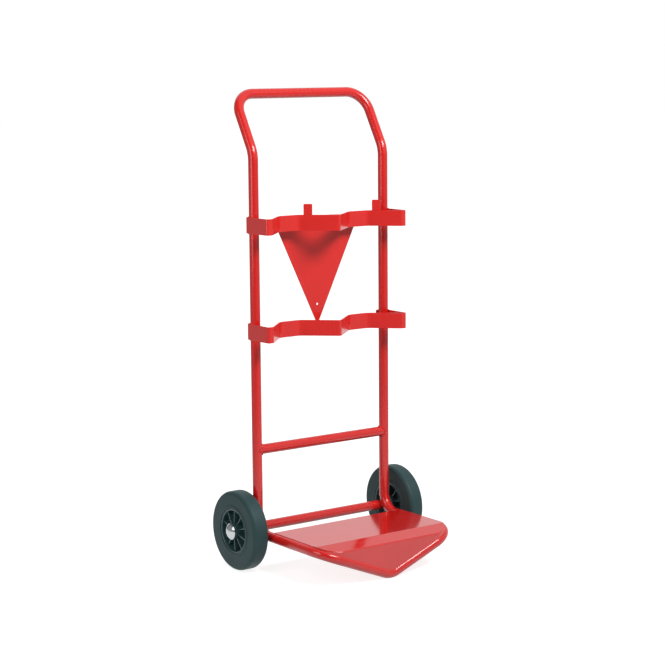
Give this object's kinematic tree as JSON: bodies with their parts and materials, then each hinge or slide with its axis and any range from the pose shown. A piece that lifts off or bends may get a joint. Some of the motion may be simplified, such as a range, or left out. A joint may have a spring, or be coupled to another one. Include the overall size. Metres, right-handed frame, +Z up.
{
  "type": "fire extinguisher trolley",
  "caption": "Upright red tubular hand trolley that carries fire extinguisher cylinders in bent strip cradles over a folded toe plate, with solid tyre wheels and a triangular sign plate.",
  "frame": {"origin": "on the floor, under the middle of the overall box", "axes": "+X to the right across the trolley for someone who faces its front, +Y towards the back (wheels and handle), +Z up"},
  "size_m": [0.564, 0.41, 1.1954],
  "materials": {
    "red_paint": "glossy signal red powder coat",
    "tyre_rubber": "matt dark slate rubber",
    "hub_plastic": "moulded black",
    "cage_plastic": "natural nylon",
    "bearing_steel": "ground",
    "axle_steel": "zinc plated",
    "cap_chrome": "bright pressed dome"
  },
  "bodies": {
    "frame": {"frame_hoop": "red_paint", "toe_bow": "red_paint", "cross_tube": "red_paint", "axle_tube": "red_paint", "toe_plate": "red_paint", "lower_bracket": "red_paint", "upper_bracket": "red_paint", "left_strap_lug": "red_paint", "right_strap_lug": "red_paint", "sign_plate": "red_paint", "axle_rod": "axle_steel", "left_inner_washer": "axle_steel", "left_outer_washer": "axle_steel", "left_axle_cap": "cap_chrome", "right_inner_washer": "axle_steel", "right_outer_washer": "axle_steel", "right_axle_cap": "cap_chrome"},
    "left_wheel": {"left_tyre": "tyre_rubber", "left_hub": "hub_plastic", "left_rollers": "bearing_steel", "left_roller_cage": "cage_plastic"},
    "right_wheel": {"right_tyre": "tyre_rubber", "right_hub": "hub_plastic", "right_rollers": "bearing_steel", "right_roller_cage": "cage_plastic"}
  },
  "joints": [
    {"name": "left_wheel_spin", "type": "hinge", "parent": "frame", "child": "left_wheel", "pos_m": [-0.245, 0.10499, 0.1], "axis": [1, 0, 0], "continuous": true},
    {"name": "right_wheel_spin", "type": "hinge", "parent": "frame", "child": "right_wheel", "pos_m": [0.245, 0.10499, 0.1], "axis": [1, 0, 0], "continuous": true}
  ]
}
